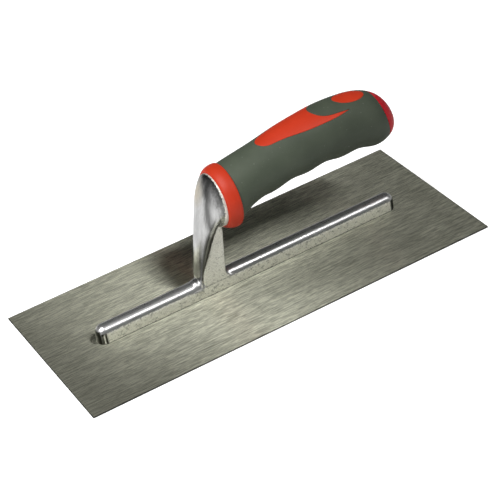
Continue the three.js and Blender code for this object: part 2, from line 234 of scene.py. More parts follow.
def rounded_rectangle(half_x, half_y, radius):
    """Points round a rectangle with rounded corners, from the places of the corners' centres."""
    points = []
    for quarter in range(4):
        side_x = 1 if quarter in (0, 3) else -1
        side_y = 1 if quarter in (0, 1) else -1
        for step in range(CORNER_STEPS + 1):
            angle = math.radians(90 * quarter + 90 / CORNER_STEPS * step)
            x = side_x * half_x + radius * math.cos(angle)
            points.append((x, side_y * half_y + radius * math.sin(angle)))
    return points


def outline_distance(x, y, outline):
    """Signed distance to a closed outline in the plane, negative inside it."""
    inside = np.zeros(np.broadcast(x, y).shape, bool)
    nearest = np.full(inside.shape, np.inf)
    for (ax, ay), (bx, by) in zip(outline, np.roll(outline, -1, axis=0)):
        ex, ey = bx - ax, by - ay
        t = np.clip(((x - ax) * ex + (y - ay) * ey) / (ex * ex + ey * ey), 0, 1)
        nearest = np.minimum(nearest, np.hypot(x - ax - t * ex, y - ay - t * ey))
        if ey != 0:
            inside ^= ((ay > y) != (by > y)) & (x < ax + ex * (y - ay) / ey)
    return np.where(inside, -nearest, nearest)


def thick_sheet(name, triangles, outer, inner):
    """Closed shell between two sheets that share triangles, with walls along every open edge."""
    triangles = np.asarray(triangles)
    used = np.unique(triangles)
    renumber = np.full(len(outer), -1)
    renumber[used] = np.arange(len(used))
    triangles = renumber[triangles]
    shift = len(used)
    edges = np.concatenate([triangles[:, [0, 1]], triangles[:, [1, 2]], triangles[:, [2, 0]]])
    known = set(map(tuple, edges.tolist()))
    walls = [(b, a, a + shift, b + shift) for a, b in known if (b, a) not in known]
    faces = triangles.tolist() + (triangles[:, ::-1] + shift).tolist() + walls
    return outward(new_mesh_object(name, np.concatenate([outer[used], inner[used]]), faces))


class Spline:
    """Natural cubic curve through rows of values, one row at each knot."""

    def __init__(self, knots, rows):
        self.knots = np.asarray(knots, float)
        self.rows = np.asarray(rows, float)
        gap = np.diff(self.knots)
        count = len(self.knots)
        matrix = np.eye(count)
        right = np.zeros_like(self.rows)
        for i in range(1, count - 1):
            matrix[i, i - 1 : i + 2] = gap[i - 1], 2 * (gap[i - 1] + gap[i]), gap[i]
            slopes = np.diff(self.rows[i - 1 : i + 2], axis=0) / gap[i - 1 : i + 1, None]
            right[i] = 6 * (slopes[1] - slopes[0])
        self.bends = np.linalg.solve(matrix, right)

    def __call__(self, t):
        t = np.asarray(t, float)
        i = np.clip(np.searchsorted(self.knots, t, side="right") - 1, 0, len(self.knots) - 2)
        gap = self.knots[i + 1] - self.knots[i]
        b = ((t - self.knots[i]) / gap)[..., None]
        a = 1 - b
        straight = a * self.rows[i] + b * self.rows[i + 1]
        bend = (a**3 - a) * self.bends[i] + (b**3 - b) * self.bends[i + 1]
        return straight + bend * (gap[..., None] ** 2) / 6


def chord_knots(*lines):
    """Knots spaced by the mean distance between neighbouring points of several lines."""
    steps = [np.linalg.norm(np.diff(np.asarray(line, float), axis=0), axis=1) for line in lines]
    return np.concatenate([[0], np.cumsum(np.mean(steps, axis=0))])


def smooth_step(value):
    value = np.clip(value, 0, 1)
    return value * value * (3 - 2 * value)


# -------- materials

# Nearly all of a noise pattern lies in this span.
NOISE_SPAN = (0.3, 0.7)


def new_material(name):
    material = bpy.data.materials.new(name)
    material.use_nodes = True
    tree = material.node_tree
    return material, tree, tree.nodes["Principled BSDF"]


def fill(node, **inputs):
    """Links sockets or sets values on a node's inputs, named with _ for a space, or i and a number."""
    for key, value in inputs.items():
        numbered = key[0] == "i" and key[1:].isdigit()
        socket = node.inputs[int(key[1:]) if numbered else key.replace("_", " ")]
        if isinstance(value, bpy.types.NodeSocket):
            node.id_data.links.new(value, socket)
        else:
            socket.default_value = value
    return node


def add(tree, kind, settings=None, **inputs):
    """New shader node with its settings and inputs."""
    node = tree.nodes.new("ShaderNode" + kind)
    for key, value in (settings or {}).items():
        setattr(node, key, value)
    return fill(node, **inputs)


def after(kind, settings=None, **inputs):
    """New shader node in the same tree as the sockets that feed it."""
    trees = [value.id_data for value in inputs.values() if isinstance(value, bpy.types.NodeSocket)]
    return add(trees[0], kind, settings, **inputs)


def maths(operation, first, second=0.0):
    return after("Math", {"operation": operation}, i0=first, i1=second).outputs[0]


def plus(first, second):
    return maths("ADD", first, second)


def times(first, second):
    return maths("MULTIPLY", first, second)


def size_of(value):
    return maths("ABSOLUTE", value)


def highest(first, *others):
    for other in others:
        first = maths("MAXIMUM", first, other)
    return first


def weighted(first, share, second):
    """Mean of two patterns, with the first one's share of it."""
    return plus(times(first, share), times(second, 1 - share))


def remap(value, span, to_low=0.0, to_high=1.0):
    """Value carried from one span to another, and held at its ends."""
    low, high = span
    node = after("MapRange", Value=value, From_Min=low, From_Max=high, To_Min=to_low, To_Max=to_high)
    return node.outputs[0]


def vary(pattern, to_low=0.0, to_high=1.0):
    """Noise stretched to run from one value to another."""
    return remap(pattern, NOISE_SPAN, to_low, to_high)


def blend(factor, first, second):
    return after("Mix", Factor=factor, i2=first, i3=second).outputs[0]


def mix_colour(factor, first, second, kind="MIX"):
    """Blend of two colours, each one a socket or red, green and blue."""
    first, second = (
        colour if isinstance(colour, bpy.types.NodeSocket) else (*colour, 1) for colour in (first, second)
    )
    settings = {"data_type": "RGBA", "blend_type": kind}
    return after("Mix", settings, Factor=factor, i6=first, i7=second).outputs[2]


def dimmed(colour, shade):
    grey = after("CombineColor", Red=shade, Green=shade, Blue=shade).outputs[0]
    return mix_colour(1.0, colour, grey, "MULTIPLY")


def coordinates(tree, scale=(1, 1, 1)):
    """Object coordinates in millimetres, stretched by a scale."""
    place = add(tree, "TexCoord").outputs["Object"]
    return after("Mapping", Vector=place, Scale=tuple(value / MM for value in scale)).outputs[0]


def place_of(tree):
    """X, Y and Z of the point, in millimetres."""
    return after("SeparateXYZ", Vector=coordinates(tree)).outputs


def facing_of(tree):
    """X, Y and Z of the surface's direction."""
    return after("SeparateXYZ", Vector=add(tree, "NewGeometry").outputs["Normal"]).outputs


def attribute(tree, name):
    return add(tree, "Attribute", {"attribute_name": name}).outputs["Fac"]


def noise(tree, scale, detail, roughness):
    """Noise with so many features per millimetre: one number, or one along each of X, Y and Z."""
    stretch, overall = (scale, 1) if isinstance(scale, tuple) else ((1, 1, 1), scale)
    vector = coordinates(tree, stretch)
    made = after("TexNoise", Vector=vector, Scale=overall, Detail=detail, Roughness=roughness)
    return made.outputs["Fac"]


def bump(height, strength, depth, normal=None):
    """Normal bent by a height pattern of some depth in millimetres."""
    node = after("Bump", Height=height, Strength=strength, Distance=depth * MM)
    if normal is not None:
        fill(node, Normal=normal)
    return node.outputs[0]


def floor_material():
    """Pale paper, with a glow that stands for the light around it."""
    material, tree, shader = new_material("floor_paper")
    seen = add(tree, "LightPath").outputs["Is Camera Ray"]
    glow = remap(seen, (0, 1), FLOOR_GLOW, FLOOR_GLOW_SEEN)
    fill(shader, Base_Color=(*PAPER, 1), Roughness=0.9, Specular_IOR_Level=0.1)
    fill(shader, Emission_Color=(1, 1, 1, 1), Emission_Strength=glow)
    return material


# A pair of colours is the darkest and the palest that a pattern runs between.
STEEL = ((0.42, 0.422, 0.335), (0.86, 0.862, 0.71))
# Painted shade on the sheet's edge faces and along its outline.
SHEET_EDGE_SHADE = (0.03, 0.03, 0.025)
# How far in from the sheet's outline the painted shade of its edges starts, and where it is full.
EDGE_FADE = (0.5, 0.25)


def shade_near_outline(place, half):
    """How dark the painted shade is where the sheet nears its outline, given half its size."""
    start, full = EDGE_FADE
    return remap(size_of(place), (half - start, half - full), 0, 0.9)


def steel_material():
    """Blade steel, brushed along X, with broken streaks, faint staining, and painted shade on its edge faces
    and along its outline.
    """
    material, tree, shader = new_material("blade_steel")
    fine = noise(tree, (0.13, 2.2, 2.2), 4, 0.7)
    broad = noise(tree, (0.04, 0.9, 0.9), 3, 0.6)
    stain = noise(tree, (0.05, 0.1, 0.1), 3, 0.6)
    streak = weighted(fine, 0.85, broad)
    colour = mix_colour(remap(streak, (0.42, 0.58)), *STEEL)
    colour = dimmed(colour, remap(stain, (0.38, 0.62), 0.88, 1.0))
    half_length, half_width, _ = node_box("blade")[1]
    place = place_of(tree)
    # Painted shade on the side faces, and in a thin strip along the outline.
    edge = highest(
        remap(size_of(facing_of(tree)["Z"]), (0.6, 0.97), 0.95, 0),
        shade_near_outline(place["Y"], half_width),
        shade_near_outline(place["X"], half_length),
    )
    colour = mix_colour(edge, colour, SHEET_EDGE_SHADE)
    rough = remap(streak, (0.40, 0.60), 0.60, 0.47)
    fill(shader, Base_Color=colour, Roughness=rough, Normal=bump(streak, 0.25, 0.03))
    across = add(tree, "CombineXYZ", Y=1.0).outputs[0]
    fill(shader, Metallic=1.0, Anisotropic=1.0, Tangent=across)
    return material


CAST = ((0.72, 0.71, 0.63), (1.0, 1.0, 0.93))
CAST_SPECK = (0.20, 0.20, 0.17)
BRIGHT = ((0.56, 0.56, 0.55), (0.69, 0.69, 0.69))
STAIN = (0.50, 0.41, 0.25)
STAIN_AT = (-20.5, 9.5, 67.0)
STAIN_REACH = (3, 12)
# Painted shade on the post.
POST_SHADE = (0.04, 0.04, 0.036)
# Painted shade on the bar's ends.
BAR_END_SHADE = (0.018, 0.018, 0.012)
# Painted contact shade along the casting's foot, where it meets the blade.
FOOT_SHADE = (0.09, 0.09, 0.075)
# Painted shade along the edge of the polish.
POLISH_BOUNDARY_SHADE = (0.14, 0.14, 0.125)

# Heights over which the bar's crown gives way to the post.
POST_FROM = (11, 15)
# Band of painted shade down the post: its heights, its Y at two heights, and where its half width fades.
BAND_HEIGHTS = (44, 52)
BAND_CLIMB = (47, 74)
BAND_SIDE = (-12, -3)
BAND_WIDTH = (0.6, 4.6)
# Painted shade over the post's root: its heights, and where it is fainter on the near side.
ROOT_HEIGHTS = (25, 34)
ROOT_SIDE = (-4, -1)
# Painted shade on the near side of the post, low down: how far it faces the near side, and its heights.
FACET_FACING = (-0.4, -0.75)
FACET_HEIGHTS = (44, 54)
# Shaded strip ahead of the boss's front edge.
RIM_WIDTH = (0.8, 4.0)
# The bar's ends, darkened with painted shade: where they start along the bar, and the heights where they
# stop.
BAR_FRONT = (-102, -101)
BAR_REAR = (103.6, 104.6)
BAR_TIP = (-104.5, -105.5)
END_TOP = (8.8, 8.2)
TIP_TOP = (10.2, 9.2)
# Heights over which the painted contact shade along the foot fades out.
FOOT_SHADE_TOP = (0.9, 1.7)


def cast_colour(tree, grit, pits, up):
    """Speckled skin of the mould, with dark specks that are commoner low down."""
    speckle = weighted(grit, 0.55, pits)
    colour = mix_colour(remap(speckle, (0.4, 0.6)), *CAST)
    specks = plus(noise(tree, (0.45, 0.45, 0.6), 4, 0.8), remap(up, (4, 20), 0.03, 0))
    return mix_colour(remap(specks, (0.57, 0.66), 0, 0.7), colour, CAST_SPECK)


def linished_colour(tree, marks, broad_marks, pits, on_post):
    """Bright metal with fine marks, broad shading on the post, and a brownish stain near its top."""
    colour = mix_colour(vary(marks), *BRIGHT)
    shading = times(remap(broad_marks, (0.60, 0.40)), on_post)
    colour = dimmed(colour, remap(shading, (0, 1), 1, 0.8))
    away = after("VectorMath", {"operation": "DISTANCE"}, i0=coordinates(tree), i1=STAIN_AT)
    spread = remap(away.outputs["Value"], STAIN_REACH, 0.75, 0)
    stain = times(spread, remap(pits, (0.3, 0.6), 0.4, 1))
    return mix_colour(stain, colour, STAIN)


def painted_post_shade(tree, place, marks, up_marks, broad_marks, wander):
    """How dark the post's painted shade is: a band down it, over its root, in the strip ahead of the boss's
    rim, and on its near side.
    """
    up = place["Z"]
    drifting = plus(place["Y"], vary(broad_marks, -1.5, 1.5))
    off_band = maths("SUBTRACT", drifting, remap(up, BAND_CLIMB, *BAND_SIDE))
    band = remap(size_of(off_band), BAND_WIDTH, 0.75, 0)
    band = times(band, remap(up, BAND_HEIGHTS))
    root = remap(plus(up, vary(up_marks, -4, 4)), ROOT_HEIGHTS, 1, 0)
    root = times(root, remap(place["Y"], ROOT_SIDE, 0.6, 1))
    from_rim = plus(attribute(tree, "from_rim"), vary(wander, -0.8, 0.8))
    shaded = highest(band, root, remap(from_rim, RIM_WIDTH, 0.75, 0))
    shaded = times(shaded, vary(marks, 1, 0.95))
    facet = remap(facing_of(tree)["Y"], FACET_FACING)
    return highest(shaded, times(facet, remap(up, FACET_HEIGHTS, 0.88, 0)))


def painted_bar_end_shade(tree, place):
    """How dark the painted shade on the bar's two round ends is, with upright stripes of painted reflection
    at the front.
    """
    reflection_stripes = remap(noise(tree, (0.9, 0.9, 0.03), 2, 0.5), (0.5, 0.6), 1, 0.4)
    front = times(remap(place["X"], BAR_FRONT, 1, 0), reflection_stripes)
    ends = highest(front, remap(place["X"], BAR_REAR))
    ends = times(ends, remap(place["Z"], END_TOP))
    tip = times(remap(place["X"], BAR_TIP), remap(place["Z"], TIP_TOP))
    return highest(ends, tip)


def aluminium_material():
    """Cast aluminium: linished bright where the attribute polish is above zero, as cast below it, with
    painted shade on the post, the bar's ends, the foot and the polish's edge.
    """
    material, tree, shader = new_material("cast_aluminium")
    place = place_of(tree)
    up = place["Z"]
    on_post = remap(up, POST_FROM)
    wander = noise(tree, 0.7, 3, 0.6)
    grit = noise(tree, 2.2, 4, 0.65)
    pits = noise(tree, 0.9, 3, 0.7)
    # Linishing marks run up the post, and along the bar's crown.
    up_marks = noise(tree, (1.1, 1.1, 0.1), 4, 0.65)
    broad_marks = noise(tree, (0.22, 0.22, 0.014), 3, 0.6)
    along_marks = noise(tree, (0.1, 1.6, 1.6), 4, 0.6)
    marks = blend(on_post, along_marks, up_marks)
    ragged = plus(attribute(tree, "polish"), vary(wander, -0.35, 0.35))
    polished = remap(ragged, (-0.08, 0.12))

    # Painted shade on the post's bright metal.
    shaded = times(painted_post_shade(tree, place, marks, up_marks, broad_marks, wander), on_post)
    bright = linished_colour(tree, marks, broad_marks, pits, on_post)
    bright = mix_colour(shaded, bright, POST_SHADE)
    colour = mix_colour(polished, cast_colour(tree, grit, pits, up), bright)
    # Painted shade on the bar's ends, striped at the front with painted reflections.
    colour = mix_colour(painted_bar_end_shade(tree, place), colour, BAR_END_SHADE)
    # Painted contact shade along the foot, where the casting meets the blade.
    foot = remap(plus(up, vary(wander, -0.3, 0.3)), FOOT_SHADE_TOP, 0.85, 0)
    colour = mix_colour(foot, colour, FOOT_SHADE)
    # Painted shade in a thin, broken line along the edge of the polish.
    line = remap(size_of(ragged), (0.1, 0.5), 1.0, 0.0)
    line = times(line, remap(grit, (0.4, 0.6), 0.1, 0.85))
    colour = mix_colour(line, colour, POLISH_BOUNDARY_SHADE)

    metal = blend(polished, 0.7, remap(on_post, (0, 1), 0.84, 1.0))
    bright_rough = blend(on_post, vary(marks, 0.26, 0.36), vary(marks, 0.20, 0.26))
    rough = blend(polished, vary(grit, 0.50, 0.64), bright_rough)
    rises = times(grit, maths("SUBTRACT", 1.0, polished))
    normal = bump(marks, 0.12, 0.08, bump(rises, 0.6, 0.12))
    fill(shader, Base_Color=colour, Metallic=metal, Roughness=rough, Normal=normal)
    # Highlights on the bar's crown spread along the bar.
    on_crown = times(polished, maths("SUBTRACT", 1.0, on_post))
    along = add(tree, "CombineXYZ", X=1.0).outputs[0]
    fill(shader, Anisotropic=times(on_crown, 0.6), Tangent=along)
    return material


RUBBER = ((0.058, 0.071, 0.050), (0.074, 0.089, 0.063))
DUST = (0.30, 0.32, 0.28)
# Painted shade: the grip is darker towards the rear, over this stretch.
REAR_SHADE = (15, 75)


def rubber_material():
    """Soft grey-green grip: matt, finely stippled, with a little pale dust, and painted shade towards the
    rear.
    """
    material, tree, shader = new_material("grey_green_rubber")
    stipple = noise(tree, 3.0, 2, 0.5)
    cloud = noise(tree, 0.06, 3, 0.5)
    dust = noise(tree, 0.8, 2, 0.4)
    colour = mix_colour(vary(cloud), *RUBBER)
    # Painted shade, darker towards the rear.
    colour = mix_colour(remap(place_of(tree)["X"], REAR_SHADE, 0, 0.22), colour, (0.0, 0.0, 0.0))
    colour = mix_colour(remap(dust, (0.72, 0.8), 0.0, 0.35), colour, DUST)
    fill(shader, Base_Color=colour, Roughness=vary(stipple, 0.52, 0.64))
    fill(shader, Specular_IOR_Level=0.22, Normal=bump(stipple, 0.35, 0.08))
    return material


ORANGE_RED = ((0.44, 0.030, 0.009), (0.49, 0.036, 0.012))
CRIMSON = ((0.42, 0.010, 0.016), (0.48, 0.014, 0.022))
ZINC = ((0.50, 0.50, 0.49), (0.62, 0.61, 0.56))


def clouded_material(name, colours, cloud, grain, rough, relief, **looks):
    """Colour that drifts between two, with a fine grain in its roughness and relief."""
    material, tree, shader = new_material(name)
    grain = noise(tree, *grain)
    colour = mix_colour(vary(noise(tree, *cloud)), *colours)
    fill(shader, Base_Color=colour, Roughness=vary(grain, *rough), Normal=bump(grain, *relief), **looks)
    return material


def plastic_material(name, colours, roughness, gloss):
    """Satin moulded plastic with the faint orange peel of a spark-finished tool."""
    cloud, peel = (0.08, 2, 0.5), (1.4, 3, 0.5)
    rough = (roughness - 0.04, roughness + 0.06)
    return clouded_material(name, colours, cloud, peel, rough, (0.15, 0.06), Specular_IOR_Level=gloss)


def zinc_material():
    """Bright zinc plate with turning marks and small colour changes."""
    cloud, rings = (0.4, 3, 0.5), ((2.5, 0.5, 0.5), 3, 0.6)
    return clouded_material("plated_steel", ZINC, cloud, rings, (0.28, 0.42), (0.2, 0.05), Metallic=1.0)


RIVET_STEEL = ((0.27, 0.27, 0.25), (0.40, 0.40, 0.37))


def rivet_material():
    """Rivet steel, ground flush with the blade, so it carries the same brushing."""
    material, tree, shader = new_material("rivet_steel")
    streak = noise(tree, (0.06, 2.6, 2.6), 3, 0.6)
    cloud = noise(tree, (1.5, 1.5, 1.5), 2, 0.5)
    colour = mix_colour(remap(streak, (0.35, 0.65)), *RIVET_STEEL)
    rough = vary(cloud, 0.30, 0.42)
    fill(shader, Base_Color=colour, Roughness=rough, Metallic=0.9, Normal=bump(streak, 0.2, 0.03))
    return material


# -------- blade and rivets

BLADE_EDGE_ROUND = 0.14
BLADE_EDGE_STEPS = 5
BLADE_CORNER = 0.5
BLADE_SHARP = 50
HOLES_SHARP = 30
RIVET_HEAD = 3.6
RIVET_SHANK = 2.0
RIVET_GAP = 0.06
# Rim of the rivet's head, as (how far in, how far up), and chamfer of its tip with its middle point.
RIVET_RIM = [(0.08, 0), (0.02, 0.02), (0.08, 0.1)]
RIVET_TIP = (0.5, 0.15)
RIVET_AROUND = 72


def rounded_sheet(low, high):
    """Sheet centred on the origin, with a corner radius in plan and a small round along both its edges."""
    levels = []
    for k in range(BLADE_EDGE_STEPS + 1):
        angle = (math.pi / 2) * k / BLADE_EDGE_STEPS
        rise = BLADE_EDGE_ROUND * (1 - math.sin(angle))
        levels.append((low[2] + rise, BLADE_EDGE_ROUND * (1 - math.cos(angle))))
    levels = levels[::-1] + [(high[2] - (z - low[2]), inset) for z, inset in levels]
    rings = []
    for z, inset in levels:
        ring = rounded_rectangle(high[0] - BLADE_CORNER, high[1] - BLADE_CORNER, BLADE_CORNER - inset)
        rings.append([(x, y, z) for x, y in ring])
    return ring_solid(rings, "blade_sheet", BLADE_SHARP)


def make_blade(material):
    low, high = node_box("blade")
    blade = rounded_sheet(low, high)
    slope = (RIVET_HEAD - RIVET_SHANK) / (high[2] - low[2])
    countersink = [
        (RIVET_HEAD + RIVET_GAP + slope * CUT_OVER, low[2] - CUT_OVER),
        (RIVET_SHANK + RIVET_GAP, high[2]),
        (RIVET_SHANK + RIVET_GAP, high[2] + CUT_OVER),
    ]
    for _, middle, _, _ in rivet_spots():
        boolean(blade, turned_z(countersink, middle, RIVET_AROUND), "DIFFERENCE", HOLES_SHARP)
    finish_piece(blade, "blade_sheet", material, ["blade"])


def rivet_spots():
    """Name, middle x, lowest z and highest z of each rivet."""
    spots = []
    for name in sorted(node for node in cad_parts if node.startswith("rivet_")):
        low, high = node_box(name)
        spots.append((name, (low[0] + high[0]) / 2, low[2], high[2]))
    return spots


def make_rivets(material):
    head_top = node_box("blade")[1][2]
    cut, half_cut = RIVET_TIP
    for name, middle, bottom, top in rivet_spots():
        rim = [(RIVET_HEAD - inset, bottom + rise) for inset, rise in RIVET_RIM]
        tip = [(RIVET_SHANK, head_top), (RIVET_SHANK, top - cut)]
        tip += [(RIVET_SHANK - half_cut, top - half_cut), (RIVET_SHANK - cut, top)]
        rivet = turned_z([*rim, *tip], middle, RIVET_AROUND)
        finish_piece(rivet, "ground_" + name, material, [name])


def finish_piece(piece, name, material, nodes):
    """Names a finished mesh, gives it its material, attaches it to the root body and hides the CAD nodes
    that it stands for.
    """
    piece.name = name
    piece.data.name = name
    piece.data.materials.clear()
    piece.data.materials.append(material)
    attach(piece, "root")
    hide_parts(*nodes)


# -------- mounting, as a distance field

SPINE_RADIUS = 5.5
SPINE_TOP = 12.0
SPINE_REAR = 108.3
SPINE_AXIS_Z = SPINE_TOP - SPINE_RADIUS

BOSS_Z = 62.6
BOSS_RADIUS = 16.9
BOSS_REAR = -13.9
CASTING_SHARP = 55

# Polished front of the post, called the nose: front (x, z), rear (x, z) and half width of each of its
# sections, from the boss down.
NOSE = [
    (-15.2, 79.5, -18.0, 45.8, 16.9),
    (-16.3, 78.4, -19.0, 46.6, 16.0),
    (-20.1, 72.5, -19.6, 47.2, 14.6),
    (-23.8, 64.0, -20.2, 45.2, 13.0),
    (-27.2, 54.0, -21.4, 41.6, 11.0),
    (-30.4, 42.5, -23.6, 35.6, 9.0),
    (-33.0, 30.0, -27.4, 27.4, 7.3),
    (-34.8, 19.0, -32.0, 18.4, 6.0),
    (-35.8, 10.0, -33.8, 9.6, 5.5),
]
nose_knots = chord_knots([row[:2] for row in NOSE], [row[2:4] for row in NOSE])
nose_spline = Spline(nose_knots, NOSE)
NOSE_HALVINGS = 16
PAST_SECTIONS = 0.05
TINY = 1e-6

# Side view of the web: x, z round its outline. Its front edge lies inside the nose.
WEB_FILLET = [(-17.7, 13.6), (-17.4, 11.9), (-16.5, 10.3), (-15.2, 9.1), (-13.6, 8.3), (-11.9, 7.9)]
WEB_TOP = [(-15.1, 42), (-15.1, 49), (-20, 49)]
WEB_FRONT = [(-20.8, 44), (-26, 34), (-30.5, 24), (-33.4, 14)]
WEB_OUTLINE = np.array([(-32.5, 3), (-11.9, 3), *WEB_FILLET[::-1], *WEB_TOP, *WEB_FRONT])
WEB_ROUND = 0.8
WEB_BLEND = 1.4

# Tang inside the handle: x, centre z, half height, half width at its two ends.
TANG_FRONT = (-14.0, 62.6, 9.5, 6.5)
TANG_REAR = (86.0, 74.5, 6.5, 5.0)
TANG_ROUND = 2.6
TANG_IN_BOSS = 1
TANG_CLEARANCE = 0.35

# Small round along the foot of the casting.
FOOT_ROUND = 0.35

# Soft swelling where the front bar runs into the post: x, z and radius.
KNOB = (-36.4, 7.0, 5.85)
KNOB_BLEND = 0.6
NOSE_BLEND = 1.0

# Height above which the bar's crown is polished, and how far its polished front end reaches back.
POLISH_Z = 8.5
POLISH_END = SPINE_RADIUS * 0.75
# How far the polish reaches past the web's edge on the crown, and keeps off it, and off the boss's edge.
POLISH_PAST_WEB = 0.3
POLISH_OFF_WEB = 0.15
POLISH_OFF_RIM = 0.2
POLISH_MOST = 6
RIM_MOST = 20

# Sampling grid of the distance field: spacings, margin, the fine stretches at both ends and the post's, the
# half width, and the lowest height, the end of the finest heights and the top.
GRID_FINE = 0.45
GRID_COARSE = 3
GRID_MARGIN = 1
GRID_ENDS = (7, 8)
GRID_POST = (-43, -8)
GRID_HALF_WIDTH = 18.5
GRID_HEIGHTS = (0.2, 3.0, 82)


def smooth_min(a, b, reach):
    """The lower of two fields, blended where they are within reach of each other."""
    near = np.maximum(reach - np.abs(a - b), 0)
    return np.minimum(a, b) - near * near / (4 * reach)


def rounded_pair(a, b, radius):
    """Distance to the corner between two faces, given the distances to both, with the corner rounded."""
    a, b = a + radius, b + radius
    return np.minimum(np.maximum(a, b), 0) + np.hypot(np.maximum(a, 0), np.maximum(b, 0)) - radius


def spine_field(x, y, z):
    """Round-topped bar with round ends."""
    front = node_box("mounting")[0][0]
    along = x - np.clip(x, front + SPINE_RADIUS, SPINE_REAR - SPINE_RADIUS)
    above = np.maximum(z - SPINE_AXIS_Z, 0)
    return np.sqrt(along**2 + y**2 + above**2) - SPINE_RADIUS


def web_field(x, y, z):
    """Flat-sided web behind the nose."""
    return rounded_pair(outline_distance(x, z, WEB_OUTLINE), np.abs(y) - SPINE_RADIUS, WEB_ROUND)


def nose_field(x, y, z):
    """Stacked ellipses ahead of the boss's front edge, and the boss's cylinder behind it."""
    x, z = np.broadcast_arrays(np.asarray(x, float), np.asarray(z, float))

    def offset(t):
        fx, fz, rx, rz, _ = np.moveaxis(nose_spline(t), -1, 0)
        length = np.hypot(fx - rx, fz - rz)
        return ((fx - rx) * (z - (fz + rz) / 2) - (fz - rz) * (x - (fx + rx) / 2)) / length

    low = np.zeros(x.shape)
    high = np.full(x.shape, nose_knots[-1])
    first_side = np.where(offset(low) >= 0, 1.0, -1.0)
    for _ in range(NOSE_HALVINGS):
        middle = (low + high) / 2
        same = offset(middle) * first_side > 0
        low = np.where(same, middle, low)
        high = np.where(same, high, middle)
    t = (low + high) / 2
    fx, fz, rx, rz, half = np.moveaxis(nose_spline(t), -1, 0)
    height = np.hypot(fx - rx, fz - rz) / 2
    share = ((x - (fx + rx) / 2) * (fx - rx) + (z - (fz + rz) / 2) * (fz - rz)) / (2 * height**2)
    off_plane = np.abs(offset(t))
    y = np.asarray(y, float)
    radial = np.sqrt(share**2 + (y / half) ** 2) + TINY
    steepness = np.sqrt((share / height) ** 2 + (y / half**2) ** 2) + TINY
    loft = (radial - 1) * radial / steepness
    # Past the first and last sections, the distance to the section's plane counts too.
    loft = np.where(off_plane > PAST_SECTIONS, np.maximum(loft, 0) + off_plane, loft)
    cylinder = np.maximum(np.hypot(y, z - BOSS_Z) - BOSS_RADIUS, x - BOSS_REAR)
    return np.where(edge_plane(x, z) > 0, loft, cylinder)


def edge_plane(x, z):
    """Distance ahead of the plane through the boss's front edge."""
    fx, fz, rx, rz, _ = NOSE[0]
    length = math.hypot(fx - rx, fz - rz)
    return -((x - fx) * (fz - rz) - (z - fz) * (fx - rx)) / length


def tang_share(x):
    """0 at the tang's front end and 1 at its rear end."""
    return (x - TANG_FRONT[0]) / (TANG_REAR[0] - TANG_FRONT[0])


def tang_section(share):
    """Centre height, half height and half width of the tang."""
    return (TANG_FRONT[i] + share * (TANG_REAR[i] - TANG_FRONT[i]) for i in (1, 2, 3))


def tang_field(x, y, z):
    """Tapered tang, from just inside the boss to its rear end."""
    centre, tall, wide = tang_section(np.clip(tang_share(x), 0, 1))
    bar = rounded_pair(np.abs(z - centre) - tall, np.abs(y) - wide, TANG_ROUND)
    return np.maximum(bar, np.maximum(TANG_FRONT[0] - TANG_IN_BOSS - x, x - TANG_REAR[0]))


def casting_field(x, y, z):
    """Signed distance to the whole casting."""
    lower = smooth_min(spine_field(x, y, z), web_field(x, y, z), WEB_BLEND)
    lower = np.maximum(lower, np.abs(y) - SPINE_RADIUS)
    knob = np.sqrt((x - KNOB[0]) ** 2 + y**2 + (z - KNOB[1]) ** 2) - KNOB[2]
    lower = smooth_min(lower, np.maximum(knob, SPINE_AXIS_Z - z), KNOB_BLEND)
    whole = smooth_min(lower, nose_field(x, y, z), NOSE_BLEND)
    whole = np.minimum(whole, tang_field(x, y, z))
    return rounded_pair(whole, node_box("blade")[1][2] - z, FOOT_ROUND)


def graded(marks):
    """Grid lines from rows of (end of the stretch, spacing) after a first place."""
    lines = [marks[0]]
    for end, spacing in marks[1:]:
        count = max(1, round((end - lines[-1]) / spacing))
        start = lines[-1]
        lines += [start + (end - start) * (k + 1) / count for k in range(count)]
    return np.array(lines)


def surface_net(field, xs, ys, zs):
    """Quads over the zero level of a sampled field, with one vertex in each cell that it crosses."""
    axes = (xs, ys, zs)
    shape = tuple(size - 1 for size in field.shape)
    total = np.zeros((*shape, 3), np.float32)
    count = np.zeros(shape, np.int32)
    crossings = []
    for axis in range(3):
        a = np.take(field, np.arange(shape[axis]), axis)
        b = np.take(field, np.arange(1, shape[axis] + 1), axis)
        cross = (a < 0) != (b < 0)
        share = np.where(cross, a / np.where(cross, a - b, 1), 0)
        lines = list(axes)
        lines[axis] = lines[axis][:-1]
        spot = np.stack(np.meshgrid(*lines, indexing="ij"), axis=-1)
        gaps = np.diff(axes[axis]).reshape([-1 if other == axis else 1 for other in range(3)])
        spot[..., axis] += share * gaps
        spot *= cross[..., None]
        others = [other for other in range(3) if other != axis]
        for shift in itertools.product(*[(0,) if other == axis else (0, 1) for other in range(3)]):
            pick = tuple(slice(start, start + size) for start, size in zip(shift, shape))
            total += spot[pick]
            count += cross[pick]
        crossings.append((cross, a < 0, others))
    used = count > 0
    number = np.full(shape, -1)
    number[used] = np.arange(used.sum())
    points = total[used] / count[used][:, None]
    faces = []
    for axis, (cross, starts_inside, others) in enumerate(crossings):
        spots = np.argwhere(cross)
        for other in others:
            spots = spots[(spots[:, other] > 0) & (spots[:, other] < field.shape[other] - 1)]
        u, v = np.eye(3, dtype=int)[others]
        corners = [spots - u - v, spots - v, spots, spots - u]
        quad = np.stack([number[tuple(corner.T)] for corner in corners], axis=-1)
        flip = starts_inside[tuple(spots.T)] != (axis == 1)
        quad[~flip] = quad[~flip][:, ::-1]
        faces.append(quad)
    return points.astype(float), np.concatenate(faces)


SETTLE_ROUNDS = 3
SETTLE_REACH = 0.3
SETTLE_STEP = 0.02
SETTLE_LEAST_SLOPE = 0.2


